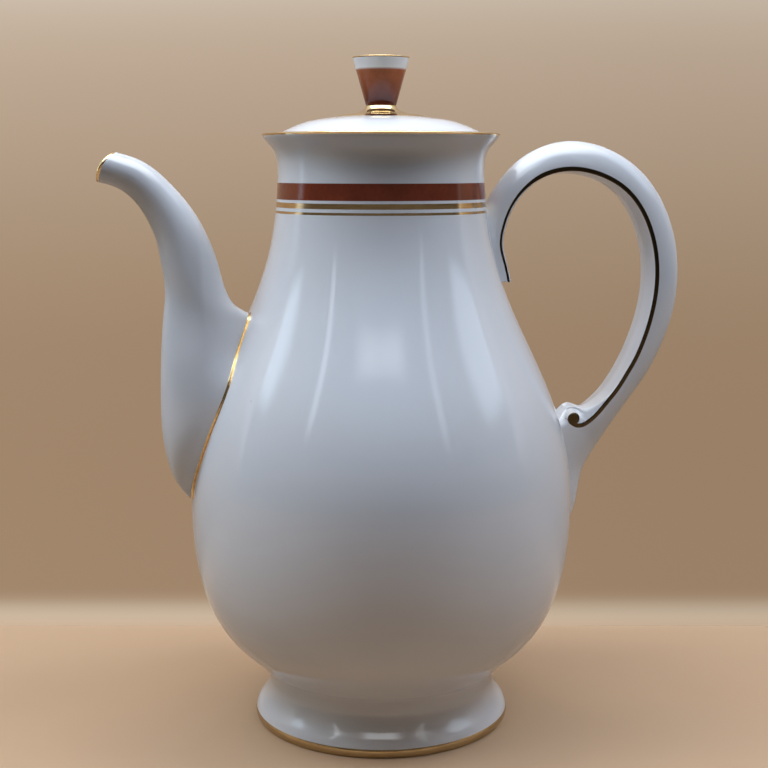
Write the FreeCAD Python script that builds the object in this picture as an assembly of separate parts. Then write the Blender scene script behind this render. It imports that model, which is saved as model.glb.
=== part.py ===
import FreeCAD, Part
import math
import os
from FreeCAD import Vector

# Tall porcelain chocolate pot: a pear-shaped body on a flared foot ring, a swan-neck
# spout on -X, an arched handle on +X and a lift-off lid with a trumpet-shaped knob.
# Millimetres, +Z up, origin at the centre of the foot's resting plane.

# ---- driving dimensions -------------------------------------------------------------

# foot ring
FOOT_RADIUS = 48.8          # widest point of the flared foot
FOOT_CONTACT_RADIUS = 48.0  # outer edge of the flat face it stands on
FOOT_TOE_HEIGHT = 2.3       # height of the widest point
FOOT_WALL = 4.2

# body
WAIST_RADIUS = 43.0         # joint between the foot ring and the body
WAIST_HEIGHT = 16.5
BELLY_RADIUS = 72.0
BELLY_HEIGHT = 79.0
NECK_RADIUS = 38.2
RIM_RADIUS = 43.9
RIM_HEIGHT = 222.2
FLARE_HEIGHT = 12.7         # from the narrowest part of the neck up to the rim
BODY_WALL = 3.4
FLOOR_THICKNESS = 4.5

# seat for the lid, let into the rim
SEAT_RADIUS = 40.0
SEAT_DEPTH = 2.4
LEDGE_INNER_RADIUS = 35.6

# lid
LID_EDGE_GAP = 0.4          # between the lid's edge and the wall of its seat
LID_DOME_RISE = 5.8         # from the rim to the foot of the collar
LID_COLLAR_RADIUS = 17.3    # foot of the hollow-curved collar under the knob
LID_COLLAR_RISE = 4.4
LID_WALL = 3.0
LID_DOME_BULGE = 0.5        # how far the dome stands above a straight cone
FLANGE_CLEARANCE = 0.6      # between the flange and the neck
FLANGE_WALL = 3.0
FLANGE_DEPTH = 12.0

# knob
KNOB_STEM_RADIUS = 5.6
KNOB_TOP_RADIUS = 10.5
KNOB_HEIGHT = 17.6
KNOB_DISH_DEPTH = 1.2
KNOB_EDGE_ROUND = 0.5

# spout
SPOUT_BASE_LOW = 88.3       # lowest point of its base on the body
SPOUT_BASE_BELOW_RIM = 64.7  # from the rim down to the highest point of its base
SPOUT_BASE_HALF_WIDTH = 15.0
SPOUT_BASE_DEPTH = 19.0     # stand-off of its front from the body, at the widest
SPOUT_THROAT_SHARE = 0.404  # where the bend starts, between the base's top and the lip
SPOUT_THROAT_FRONT = 81.7
SPOUT_THROAT_DIAMETER = 20.4
SPOUT_REACH = 103.6         # lower lip, from the pot's axis
SPOUT_LIP_BELOW_RIM = 17.4
SPOUT_MOUTH_DIAMETER = 12.4
SPOUT_MOUTH_TILT = 60.0     # degrees from level to the line across the mouth
SPOUT_LIP_CURVE = 10.0      # radius of the mouth's edge, seen from the side
SPOUT_WALL = 2.2
SPOUT_HOLE_RADIUS = 9.5     # hole in the body behind the spout
SPOUT_HOLE_HEIGHT = 118.0

# handle
HANDLE_REACH = 119.3
HANDLE_BELOW_RIM = 2.8
HANDLE_WIDTH = 14.0
HANDLE_BACK_THICKNESS = 12.2
HANDLE_ROOT_DEPTH = 7.4     # from the neck to the inner edge at the upper joint
HANDLE_CROWN = 0.8          # bulge of the inner face
TONGUE_BELOW_RIM = 55.2     # lower end of the upper joint
TONGUE_PROUD = 3.4
SCROLL_HEIGHT = 118.4       # top of the scroll at the lower joint
TAIL_HEIGHT = 73.2          # lower end of the tail on the body
TAIL_WIDTH = 8.5
TAIL_PROUD = 5.2

# how far a joined piece is modelled into the body before the body is cut from it
JOIN_DEPTH = 6.0

# heights that follow from the ones above
NECK_HEIGHT = RIM_HEIGHT - FLARE_HEIGHT
LID_COLLAR_HEIGHT = RIM_HEIGHT + LID_DOME_RISE
KNOB_JOINT_HEIGHT = LID_COLLAR_HEIGHT + LID_COLLAR_RISE
TOTAL_HEIGHT = KNOB_JOINT_HEIGHT + KNOB_HEIGHT
SPOUT_BASE_HIGH = RIM_HEIGHT - SPOUT_BASE_BELOW_RIM
SPOUT_LIP_HEIGHT = RIM_HEIGHT - SPOUT_LIP_BELOW_RIM
SPOUT_THROAT_HEIGHT = SPOUT_BASE_HIGH + SPOUT_THROAT_SHARE * (SPOUT_LIP_HEIGHT - SPOUT_BASE_HIGH)
HANDLE_TOP = RIM_HEIGHT - HANDLE_BELOW_RIM
TONGUE_HEIGHT = RIM_HEIGHT - TONGUE_BELOW_RIM

# ---- curves -------------------------------------------------------------------------


def spline(points):
    """Smooth open curve through the points."""
    curve = Part.BSplineCurve()
    curve.interpolate(points)
    return curve


def even_spline(points, closed):
    """Smooth curve with evenly spaced knots, so that the sections of a loft match."""
    count = len(points) + 1 if closed else len(points)
    curve = Part.BSplineCurve()
    curve.interpolate(Points=points, Parameters=list(range(count)), PeriodicFlag=closed)
    return curve


def between(start, end, share):
    return start + share * (end - start)


def profile_points():
    """Outer outline of the body, from the waist to the rim, as radius and height."""
    belly_shape = [(0.0, 0.0), (0.124, 0.088), (0.414, 0.213), (0.686, 0.373), (0.893, 0.616)]
    shoulder_shape = [(1.0, 0.0), (0.956, 0.176), (0.781, 0.341), (0.491, 0.508), (0.222, 0.667),
                      (0.056, 0.825), (0.005, 0.953)]
    flare_shape = [(0.0, 0.0), (0.263, 0.528), (0.72, 0.764), (1.0, 0.953)]
    points = []
    for radius_share, height_share in belly_shape:
        points.append(Vector(between(WAIST_RADIUS, BELLY_RADIUS, radius_share), 0,
                             between(WAIST_HEIGHT, BELLY_HEIGHT, height_share)))
    for radius_share, height_share in shoulder_shape:
        points.append(Vector(between(NECK_RADIUS, BELLY_RADIUS, radius_share), 0,
                             between(BELLY_HEIGHT, NECK_HEIGHT, height_share)))
    for radius_share, height_share in flare_shape:
        points.append(Vector(between(NECK_RADIUS, RIM_RADIUS, radius_share), 0,
                             between(NECK_HEIGHT, RIM_HEIGHT, height_share)))
    return points


BODY_OUTLINE = spline(profile_points())


def outline_at(height):
    """Parameter of the body's outline at a height, by halving."""
    low = BODY_OUTLINE.FirstParameter
    high = BODY_OUTLINE.LastParameter
    for _ in range(40):
        middle = (low + high) / 2
        if BODY_OUTLINE.value(middle).z < height:
            low = middle
        else:
            high = middle
    return low


def body_radius(height):
    return BODY_OUTLINE.value(outline_at(height)).x


def inset_outline(depth, low_height, high_height, count):
    """Points a set depth inside the body's outline, for the cavity's wall."""
    first = outline_at(low_height)
    last = outline_at(high_height)
    points = []
    for index in range(count):
        parameter = between(first, last, index / (count - 1))
        point = BODY_OUTLINE.value(parameter)
        tangent = BODY_OUTLINE.tangent(parameter)[0]
        inward = Vector(-tangent.z, 0, tangent.x)
        points.append(point + inward * depth)
    return points


def revolve(edges):
    """Solid of revolution about Z from edges in the XZ plane that close on themselves."""
    wire = Part.Wire(Part.__sortEdges__(edges))
    solid = Part.Face(wire).revolve(Vector(0, 0, 0), Vector(0, 0, 1), 360)
    if solid.Volume < 0:
        solid.reverse()
    return solid


def lines(points):
    return [Part.makeLine(start, end) for start, end in zip(points, points[1:])]


# ---- body ---------------------------------------------------------------------------


def solid_body():
    """The body's outer form with nothing hollowed out of it."""
    start = BODY_OUTLINE.value(BODY_OUTLINE.FirstParameter)
    end = BODY_OUTLINE.value(BODY_OUTLINE.LastParameter)
    lip_inner = Vector(SEAT_RADIUS, 0, RIM_HEIGHT)
    lip_crest = Vector(between(SEAT_RADIUS, RIM_RADIUS, 0.6), 0, RIM_HEIGHT)
    lip = Part.Arc(end, Vector(between(lip_crest.x, end.x, 0.75), 0,
                               between(end.z, lip_crest.z, 0.75)), lip_crest).toShape()
    edges = [BODY_OUTLINE.toShape(), lip]
    edges += lines([lip_crest, lip_inner, Vector(0, 0, RIM_HEIGHT), Vector(0, 0, start.z), start])
    return revolve(edges)


def cavity():
    """Inside of the pot, with the ledge and the wall of the lid's seat."""
    floor_height = WAIST_HEIGHT + FLOOR_THICKNESS
    wall_points = inset_outline(BODY_WALL, WAIST_HEIGHT + 2, NECK_HEIGHT, 24)
    wall = spline(wall_points)
    first = wall_points[0]
    last = wall_points[-1]
    ledge_height = RIM_HEIGHT - SEAT_DEPTH
    above_rim = RIM_HEIGHT + 1
    outline = lines([last, Vector(LEDGE_INNER_RADIUS, 0, ledge_height),
                     Vector(SEAT_RADIUS, 0, ledge_height), Vector(SEAT_RADIUS, 0, above_rim),
                     Vector(0, 0, above_rim), Vector(0, 0, first.z), first])
    whole = revolve([wall.toShape()] + outline)
    above_floor = Part.makeCylinder(2 * BELLY_RADIUS, RIM_HEIGHT, Vector(0, 0, floor_height))
    return whole.common(above_floor)


def spout_hole():
    """Round hole through the body's wall into the foot of the spout."""
    length = BELLY_RADIUS + SPOUT_BASE_DEPTH
    return Part.makeCylinder(SPOUT_HOLE_RADIUS, length, Vector(0, 0, SPOUT_HOLE_HEIGHT),
                             Vector(-1, 0, 0))


def make_pot_body():
    return solid_body().cut(cavity()).cut(spout_hole())


# ---- foot ring ----------------------------------------------------------------------


def make_foot_ring():
    """Flared ring, hollow underneath, standing on a narrow flat face."""
    flare_shape = [(0.0, 1.0), (0.07, 0.78), (0.24, 0.60), (0.54, 0.40), (0.83, 0.24), (1.0, 0.0)]
    outside = []
    inside = []
    for radius_share, height_share in flare_shape:
        radius = between(WAIST_RADIUS, FOOT_RADIUS, radius_share)
        height = between(FOOT_TOE_HEIGHT, WAIST_HEIGHT, height_share)
        outside.append(Vector(radius, 0, height))
        inside.append(Vector(radius - FOOT_WALL, 0, height))
    toe = Vector(FOOT_CONTACT_RADIUS, 0, 0)
    heel = Vector(FOOT_RADIUS - FOOT_WALL, 0, 0)
    edges = [spline(outside).toShape(), spline(inside).toShape()]
    edges += lines([outside[-1], toe, heel, inside[-1]])
    edges += lines([inside[0], outside[0]])
    return revolve(edges)


# ---- lid and knob -------------------------------------------------------------------


def lid_edge_radius():
    return SEAT_RADIUS - LID_EDGE_GAP


def make_lid():
    """Shallow dome with a hollow-curved collar in the middle and a deep flange below."""
    ledge_height = RIM_HEIGHT - SEAT_DEPTH
    edge_radius = lid_edge_radius()
    edge_top = Vector(edge_radius, 0, RIM_HEIGHT)
    shoulder = Vector(edge_radius - 1.0, 0, RIM_HEIGHT + 0.9)
    collar_foot = Vector(LID_COLLAR_RADIUS, 0, LID_COLLAR_HEIGHT)
    dome_middle = (shoulder + collar_foot) * 0.5 + Vector(0, 0, LID_DOME_BULGE)
    rise = KNOB_JOINT_HEIGHT - LID_COLLAR_HEIGHT
    run = LID_COLLAR_RADIUS - KNOB_STEM_RADIUS
    collar = [collar_foot]
    for radius_share, height_share in [(0.80, 0.18), (0.40, 0.34), (0.15, 0.54), (0.03, 0.78), (0.0, 1.0)]:
        collar.append(Vector(KNOB_STEM_RADIUS + run * radius_share, 0,
                             LID_COLLAR_HEIGHT + rise * height_share))
    flange_outer = BODY_OUTLINE.value(outline_at(NECK_HEIGHT)).x - BODY_WALL - FLANGE_CLEARANCE
    flange_inner = flange_outer - FLANGE_WALL
    flange_low = ledge_height - FLANGE_DEPTH
    under_edge = Vector(flange_inner, 0, shoulder.z - LID_WALL + 0.6)
    under_middle = Vector(LID_COLLAR_RADIUS, 0, LID_COLLAR_HEIGHT - LID_WALL)
    under_centre = Vector(0, 0, LID_COLLAR_HEIGHT - LID_WALL + 0.6)
    edges = [Part.Arc(shoulder, dome_middle, collar_foot).toShape(), spline(collar).toShape()]
    edges += lines([collar[-1], Vector(0, 0, KNOB_JOINT_HEIGHT), under_centre, under_middle, under_edge,
                    Vector(flange_inner, 0, flange_low), Vector(flange_outer, 0, flange_low),
                    Vector(flange_outer, 0, ledge_height), Vector(edge_radius, 0, ledge_height),
                    edge_top, shoulder])
    return revolve(edges)


def make_lid_knob():
    """Trumpet-shaped knob with a shallow dish in its top."""
    cone = Part.makeCone(KNOB_STEM_RADIUS, KNOB_TOP_RADIUS, TOTAL_HEIGHT - KNOB_JOINT_HEIGHT,
                         Vector(0, 0, KNOB_JOINT_HEIGHT))
    dish_radius = KNOB_TOP_RADIUS - KNOB_EDGE_ROUND - 1.0
    ball_radius = (dish_radius ** 2 + KNOB_DISH_DEPTH ** 2) / (2 * KNOB_DISH_DEPTH)
    ball = Part.makeSphere(ball_radius, Vector(0, 0, TOTAL_HEIGHT - KNOB_DISH_DEPTH + ball_radius))
    top_edges = [edge for edge in cone.Edges if edge.BoundBox.ZMin > TOTAL_HEIGHT - 0.1]
    return cone.makeFillet(KNOB_EDGE_ROUND, top_edges).cut(ball)


# ---- spout --------------------------------------------------------------------------


def oval(front, back, half_width):
    """Closed curve of oval section between a front and a back point in the XZ plane."""
    centre = (front + back) * 0.5
    half = (front - back) * 0.5
    side = Vector(0, half_width, 0)
    points = []
    for index in range(16):
        angle = 2 * math.pi * index / 16
        points.append(centre + half * math.cos(angle) + side * math.sin(angle))
    return Part.Wire(even_spline(points, True).toShape())


def spout_stations():
    """Front point, back point and half width of each section, from the base to the mouth."""
    stations = []
    # level sections on the body: share of the base's height, stand-off of the front, half
    # depth and half width, the last three as shares of the largest
    base_shape = [(0.0, 0.055, 0.10, 0.07), (0.066, 0.26, 0.22, 0.17), (0.147, 0.44, 0.37, 0.43),
                  (0.227, 0.55, 0.49, 0.65), (0.415, 0.83, 0.80, 0.93), (0.545, 1.00, 1.00, 1.00),
                  (0.675, 1.20, 0.95, 0.96), (0.795, 1.39, 0.88, 0.89)]
    for height_share, front_share, depth_share, width_share in base_shape:
        height = between(SPOUT_BASE_LOW, SPOUT_BASE_HIGH, height_share)
        front = -body_radius(height) - SPOUT_BASE_DEPTH * front_share
        back = front + 2 * SPOUT_BASE_DEPTH * depth_share
        stations.append((Vector(front, 0, height), Vector(back, 0, height),
                         SPOUT_BASE_HALF_WIDTH * width_share))
    # sections that fan round the flare above the base: height of the front and of the back as
    # shares from the base to the throat, front and width as throat radii, and the back's share
    # of the way out from the body to the throat
    throat_radius = SPOUT_THROAT_DIAMETER / 2
    throat_centre = -SPOUT_THROAT_FRONT + throat_radius
    throat_back = throat_centre + throat_radius
    body_side = -body_radius(SPOUT_BASE_HIGH)
    flare_shape = [(0.0, -0.18, 0.93, -0.25, 1.18), (0.29, 0.0, 0.875, 0.14, 1.13),
                   (0.58, 0.16, 0.885, 0.52, 1.08), (0.82, 0.50, 0.94, 0.79, 1.03),
                   (1.0, 1.0, 1.0, 1.0, 0.98)]
    for front_rise, back_rise, front_share, out_share, width_share in flare_shape:
        stations.append((Vector(throat_centre - throat_radius * front_share, 0,
                                between(SPOUT_BASE_HIGH, SPOUT_THROAT_HEIGHT, front_rise)),
                         Vector(between(body_side, throat_back, out_share), 0,
                                between(SPOUT_BASE_HIGH, SPOUT_THROAT_HEIGHT, back_rise)),
                         throat_radius * width_share))
    # from the throat to the mouth: run and rise of the front as shares, the diameter's share of
    # the change from the throat's to the mouth's, and the tilt as a share of the mouth's
    bend_shape = [(0.045, 0.21, 0.23, 0.10), (0.13, 0.40, 0.43, 0.25), (0.34, 0.70, 0.74, 0.56),
                  (0.65, 0.915, 0.93, 0.82), (1.0, 1.0, 1.0, 1.0)]
    for run_share, rise_share, size_share, tilt_share in bend_shape:
        front = Vector(-between(SPOUT_THROAT_FRONT, SPOUT_REACH, run_share), 0,
                       between(SPOUT_THROAT_HEIGHT, SPOUT_LIP_HEIGHT, rise_share))
        diameter = between(SPOUT_THROAT_DIAMETER, SPOUT_MOUTH_DIAMETER, size_share)
        tilt = math.radians(SPOUT_MOUTH_TILT * tilt_share)
        across = Vector(math.cos(tilt), 0, math.sin(tilt))
        stations.append((front, front + across * diameter, diameter / 2))
    return stations


def thinned(stations, wall):
    """The same sections a wall's thickness smaller, leaving out those too small to hollow."""
    inner = []
    for front, back, half_width in stations:
        depth = (back - front).Length
        if depth > 4 * wall and half_width > 2 * wall:
            across = (back - front) * (wall / depth)
            inner.append((front + across, back - across, half_width - wall))
    return inner


def lengthened(stations, length):
    """The sections with one more, carried straight out past the mouth."""
    front, back, half_width = stations[-1]
    across = back - front
    outward = Vector(-across.z, 0, across.x).normalize() * length
    return stations + [(front + outward, back + outward, half_width)]


def beyond_mouth():
    """Space past the mouth's edge, which bows outwards when seen from the side."""
    lower, upper, half_width = spout_stations()[-1]
    across = upper - lower
    half = across.Length / 2
    outward = Vector(-across.z, 0, across.x).normalize()
    setback = math.sqrt(SPOUT_LIP_CURVE ** 2 - half ** 2)
    axis = (lower + upper) * 0.5 - outward * setback
    reach = 2 * SPOUT_LIP_CURVE
    width = Vector(0, 4 * half_width, 0)
    start = lower - across - width * 0.5
    corners = [start, start + across * 3, start + across * 3 + outward * reach,
               start + outward * reach, start]
    block = Part.Face(Part.makePolygon(corners)).extrude(width)
    rounding = Part.makeCylinder(SPOUT_LIP_CURVE, width.Length, axis - width * 0.5, Vector(0, 1, 0))
    return block.cut(rounding)


def loft(stations, section):
    shape = Part.makeLoft([section(*station) for station in stations], True, False)
    if shape.Volume < 0:
        shape.reverse()
    return shape


def make_spout():
    stations = spout_stations()
    past_lip = SPOUT_LIP_CURVE / 2
    outside = loft(lengthened(stations, past_lip), oval)
    bore = loft(lengthened(thinned(stations, SPOUT_WALL), past_lip + 1), oval)
    return outside.cut(bore).cut(beyond_mouth()).cut(solid_body())


# ---- handle -------------------------------------------------------------------------


def handle_section(inner, outer, half_width):
    """D-shaped section: a crowned inner face, crisp inner corners and a round outside."""
    half = (outer - inner) * 0.5
    centre = inner + half
    crown = Vector(half).normalize() * HANDLE_CROWN
    side = Vector(0, half_width, 0)
    inner_face = even_spline([inner + side * 0.94, inner - crown, inner - side * 0.94], False)
    outline = [inner - side * 0.94, centre - half * 0.40 - side, centre + half * 0.30 - side * 0.90,
               centre + half * 0.80 - side * 0.54, outer, centre + half * 0.80 + side * 0.54,
               centre + half * 0.30 + side * 0.90, centre - half * 0.40 + side, inner + side * 0.94]
    return Part.Wire([inner_face.toShape(), even_spline(outline, False).toShape()])


def handle_stations():
    """Inner point, outer point and half width of each section, from the tongue to the tail."""
    stations = []
    half_width = HANDLE_WIDTH / 2
    root = NECK_RADIUS + HANDLE_ROOT_DEPTH
    # arch: shares of the inner edge's reach and rise, and the thickness as a share of the back's
    arch_shape = [(0.0, 0.696, 0.77), (0.013, 0.771, 0.72), (0.052, 0.844, 0.69),
                  (0.192, 0.955, 0.76), (0.395, 1.0, 0.92), (0.615, 0.980, 0.97),
                  (0.806, 0.905, 0.965), (0.932, 0.784, 0.98), (1.0, 0.559, 1.0),
                  (0.976, 0.406, 0.965), (0.907, 0.260, 0.90), (0.804, 0.124, 0.81),
                  (0.742, 0.059, 0.77)]
    inner_reach = HANDLE_REACH - HANDLE_BACK_THICKNESS
    inner_top = HANDLE_TOP - HANDLE_BACK_THICKNESS * 0.92
    points = [Vector(between(root, inner_reach, reach_share), 0,
                     between(SCROLL_HEIGHT, inner_top, rise_share))
              for reach_share, rise_share, thickness_share in arch_shape]
    edge = spline(points)
    # tongue lying on the body below the upper joint
    tongue_rise = points[0].z - TONGUE_HEIGHT
    for rise_share in (0.0, 0.5):
        height = TONGUE_HEIGHT + tongue_rise * rise_share
        inner = Vector(between(body_radius(height) + TONGUE_PROUD, root + 0.4, rise_share), 0, height)
        stations.append((inner, Vector(NECK_RADIUS - JOIN_DEPTH, 0, height + 1), half_width))
    for point, shape in zip(points, arch_shape):
        tangent = edge.tangent(edge.parameter(point))[0]
        outward = Vector(-tangent.z, 0, tangent.x)
        stations.append((point, point + outward * (HANDLE_BACK_THICKNESS * shape[2]), half_width))
    # scroll and tail: drops of the outer and inner points as shares of the way from the scroll
    # to the tail's end, their stand-off from the body as shares of the arm's, and the width
    arm = points[-1]
    stand_off = arm.x - body_radius(arm.z)
    scroll_shape = [(0.170, 1.00, 0.010, 0.80, 1.0), (0.275, 0.79, 0.025, 0.63, 1.0),
                    (0.380, 0.62, 0.015, 0.45, 1.0), (0.490, 0.47, 0.085, 0.19, 1.0),
                    (0.595, 0.37, 0.28, -0.16, 0.92), (0.757, 0.29, 0.55, -0.24, 0.80),
                    (0.90, 0.25, 0.86, -0.24, 0.69), (1.0, 0.0, 1.0, -0.24, 0.60)]
    for outer_drop, outer_share, inner_drop, inner_share, width_share in scroll_shape:
        outer_height = between(SCROLL_HEIGHT, TAIL_HEIGHT, outer_drop)
        inner_height = between(SCROLL_HEIGHT, TAIL_HEIGHT, inner_drop)
        outer_off = max(stand_off * outer_share, TAIL_PROUD)
        outer = Vector(body_radius(outer_height) + outer_off, 0, outer_height)
        inner = Vector(body_radius(inner_height) + stand_off * inner_share, 0, inner_height)
        stations.append((inner, outer, between(TAIL_WIDTH / 2, half_width, (width_share - 0.6) / 0.4)))
    return stations


def make_handle():
    return loft(handle_stations(), handle_section).cut(solid_body())


# ---- output -------------------------------------------------------------------------

PIECES = {
    "pot_body": make_pot_body,
    "foot_ring": make_foot_ring,
    "spout": make_spout,
    "handle": make_handle,
    "lid": make_lid,
    "lid_knob": make_lid_knob,
}

os.makedirs("parts", exist_ok=True)
for name, make in PIECES.items():
    shape = make()
    shape.exportStep("parts/" + name + ".step")
    box = shape.BoundBox
    print(name, "valid", shape.isValid(), "solids", len(shape.Solids), "volume", round(shape.Volume),
          "box", [round(value, 1) for value in (box.XMin, box.YMin, box.ZMin, box.XMax, box.YMax, box.ZMax)])
print("capacity in litres", round(cavity().Volume / 1e6, 2))
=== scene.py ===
import math

import bpy
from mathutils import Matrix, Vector
from mathutils.bvhtree import BVHTree


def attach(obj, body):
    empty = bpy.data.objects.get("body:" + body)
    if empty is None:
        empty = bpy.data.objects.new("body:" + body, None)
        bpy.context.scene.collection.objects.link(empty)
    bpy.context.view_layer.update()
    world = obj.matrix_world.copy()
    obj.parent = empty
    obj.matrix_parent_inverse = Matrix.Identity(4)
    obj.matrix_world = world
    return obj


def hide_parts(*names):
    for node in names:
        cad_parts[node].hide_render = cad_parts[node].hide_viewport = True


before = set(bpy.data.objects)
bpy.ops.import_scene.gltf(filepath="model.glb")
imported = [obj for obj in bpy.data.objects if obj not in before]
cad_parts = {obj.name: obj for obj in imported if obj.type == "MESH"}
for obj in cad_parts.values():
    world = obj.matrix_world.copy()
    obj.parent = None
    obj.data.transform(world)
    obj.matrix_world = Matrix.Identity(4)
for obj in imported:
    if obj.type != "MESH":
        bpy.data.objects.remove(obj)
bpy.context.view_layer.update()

# ---- Pot body ---------------------------------------------------------------------------
# Pear-shaped body of glazed porcelain, slip-cast in a plaster mould and hollow. Its rim is
# turned out, with a seat let into it for the lid. The neck carries a fired-on iron-red band
# and two gilt rings, and the rim's edge is gilded.

MM = 0.001
NECK_OF_FOOT = [(43.15, 16.1), (43.2, 17.0), (43.6, 18.6), (44.4, 20.1), (45.6, 21.25)]
CREASE = (46.3, 21.45)
BODY_OUTLINE = [(43.0, 16.5), (46.6, 22.0), (55.0, 29.8), (62.9, 39.8), (68.9, 55.0), (71.97, 79.0),
                (70.5, 102.0), (64.6, 123.5), (54.8, 145.3), (45.7, 166.1), (40.1, 186.7),
                (38.4, 203.4), (38.2, 209.5), (39.7, 216.2), (42.3, 219.2), (43.9, 221.6)]
LIP = [(43.92, 221.86), (43.65, 222.06), (43.2, 222.17), (42.5, 222.2), (40.0, 222.2)]
SEAT = [(40.0, 219.8), (35.6, 219.8)]
# the body's curve starts this far above the crease, which is kept sharp within a radius and
# a height of its own
ABOVE_CREASE = 0.3
CREASE_EDGE = (0.9, 0.25)
WALL = 3.4
FLOOR = 21.0
FLOOR_CORNER = 1.0
BASE = 16.1
# heights between which the inside follows the outside
INNER_SPAN = (21.5, 210.0)

# heights of the painted rings, and the radii that they lie beyond
RED_BAND = (198.3, 204.4)
BROAD_GILT = (195.4, 197.4)
FINE_GILT = (193.3, 194.3)
NECK_OUTSIDE = 36.5
RIM_GILT = (221.2, 223.0)
RIM_OUTSIDE = 42.2
# the bead of gold along a seam
BEAD_WIDTH = 0.75
BEAD_RISE = 0.14
# a painted edge fades over this width
PAINT_EDGE = 0.12

PORCELAIN = (0.80, 0.81, 0.83, 1.0)
IRON_RED = (0.205, 0.036, 0.014, 1.0)
IRON_SPECK = (0.30, 0.22, 0.16, 1.0)
DARK_GOLD = (0.60, 0.43, 0.21, 1.0)
PALE_GOLD = (0.78, 0.61, 0.36, 1.0)
# roughness at its least and most
GLAZE_GLOSS = (0.035, 0.07)
GOLD_GLOSS = (0.10, 0.22)
ENAMEL_GLOSS = (0.07, 0.14)
# share of cells with a speck, and heights in mm of the glaze's ripple and orange peel
SPECKED_CELLS = 0.035
RIPPLE = 0.060
ORANGE_PEEL = 0.0016


def smooth_curve(points, count):
    """Evenly spaced points on a natural cubic spline through the given ones."""
    knots = [0.0]
    for start, end in zip(points, points[1:]):
        knots.append(knots[-1] + math.dist(start, end))
    gaps = [end - start for start, end in zip(knots, knots[1:])]
    bends = []
    for axis in range(len(points[0])):
        values = [point[axis] for point in points]
        upper = [0.0]
        right = [0.0]
        for i in range(1, len(points) - 1):
            turn = (values[i + 1] - values[i]) / gaps[i] - (values[i] - values[i - 1]) / gaps[i - 1]
            pivot = 2 * (gaps[i - 1] + gaps[i]) - gaps[i - 1] * upper[-1]
            upper.append(gaps[i] / pivot)
            right.append((6 * turn - gaps[i - 1] * right[-1]) / pivot)
        bend = [0.0]
        for share, value in zip(reversed(upper[1:]), reversed(right[1:])):
            bend.append(value - share * bend[-1])
        bends.append([0.0] + bend[:0:-1] + [0.0])
    result = []
    span = 0
    for step in range(count + 1):
        at = knots[-1] * step / count
        while span < len(gaps) - 1 and at > knots[span + 1]:
            span += 1
        gap = gaps[span]
        before = (knots[span + 1] - at) / gap
        after = 1 - before
        result.append(tuple(
            before * points[span][axis] + after * points[span + 1][axis]
            + ((before ** 3 - before) * bends[axis][span]
               + (after ** 3 - after) * bends[axis][span + 1]) * gap * gap / 6
            for axis in range(len(points[0]))))
    return result


def lathe(name, outline, steps=176, edge=0.35):
    """Spins an outline of (radius, height) in mm round the pot's axis and softens its corners."""
    bpy.ops.object.select_all(action="DESELECT")
    first = outline[0]
    bpy.ops.mesh.primitive_plane_add(size=MM, location=(first[0] * MM, 0, first[1] * MM))
    piece = bpy.context.object
    piece.name = name
    bpy.ops.object.transform_apply(location=True, rotation=False, scale=False)
    bpy.ops.object.mode_set(mode="EDIT")
    bpy.ops.mesh.select_mode(type="VERT")
    bpy.ops.mesh.select_all(action="SELECT")
    bpy.ops.mesh.merge(type="CENTER")
    for start, end in zip(outline, outline[1:]):
        step = ((end[0] - start[0]) * MM, 0, (end[1] - start[1]) * MM)
        bpy.ops.mesh.extrude_region_move(TRANSFORM_OT_translate={"value": step})
    bpy.ops.mesh.select_all(action="SELECT")
    bpy.ops.mesh.spin(steps=steps, angle=2 * math.pi, center=(0, 0, 0), axis=(0, 0, 1))
    bpy.ops.mesh.select_all(action="SELECT")
    bpy.ops.mesh.remove_doubles(threshold=1e-6)
    bpy.ops.mesh.normals_make_consistent(inside=False)
    bpy.ops.object.mode_set(mode="OBJECT")
    if edge:
        soften(piece, edge)
    else:
        bpy.ops.object.shade_smooth_by_angle(angle=math.radians(40))
    return piece


def soften(piece, width, angle=30.0):
    """Rounds the piece's sharp edges with an applied bevel and shades the rest smooth."""
    bevel = piece.modifiers.new("soft_edges", "BEVEL")
    bevel.limit_method = "ANGLE"
    bevel.angle_limit = math.radians(angle)
    bevel.width = width * MM
    bevel.segments = 3
    bpy.context.view_layer.objects.active = piece
    bpy.ops.object.modifier_apply(modifier=bevel.name)
    bpy.ops.object.shade_smooth_by_angle(angle=math.radians(40))


def new_group(name, inputs, outputs):
    """Node group with the named sockets, and its input and output nodes."""
    group = bpy.data.node_groups.new(name, "ShaderNodeTree")
    for label, kind in inputs:
        group.interface.new_socket(name=label, in_out="INPUT", socket_type=kind)
    for label, kind in outputs:
        group.interface.new_socket(name=label, in_out="OUTPUT", socket_type=kind)
    return group, group.nodes.new("NodeGroupInput"), group.nodes.new("NodeGroupOutput")


def link_in(tree, node, **sockets):
    """Sets each input to a value, or links it when it is another node's socket. An input is
    given by its name, or by the letter i and its number."""
    for label, value in sockets.items():
        numbered = label[0] == "i" and label[1:].isdigit()
        socket = node.inputs[int(label[1:])] if numbered else node.inputs[label]
        if isinstance(value, bpy.types.NodeSocket):
            tree.links.new(value, socket)
        else:
            socket.default_value = value
    return node


def math_node(tree, operation, first, second=0.0, clamp=False):
    """Math node's output for two values or sockets."""
    node = tree.nodes.new("ShaderNodeMath")
    node.operation = operation
    node.use_clamp = clamp
    link_in(tree, node, i0=first, i1=second)
    return node.outputs[0]


def mix_colour(tree, share, under, over):
    """Colour that goes from under to over as the share goes from 0 to 1."""
    node = tree.nodes.new("ShaderNodeMix")
    node.data_type = "RGBA"
    link_in(tree, node, i0=share, i6=under, i7=over)
    return node.outputs[2]


def mix_value(tree, share, under, over):
    """Value that goes from under to over as the share goes from 0 to 1."""
    node = tree.nodes.new("ShaderNodeMix")
    node.data_type = "FLOAT"
    link_in(tree, node, i0=share, i2=under, i3=over)
    return node.outputs[0]


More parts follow.
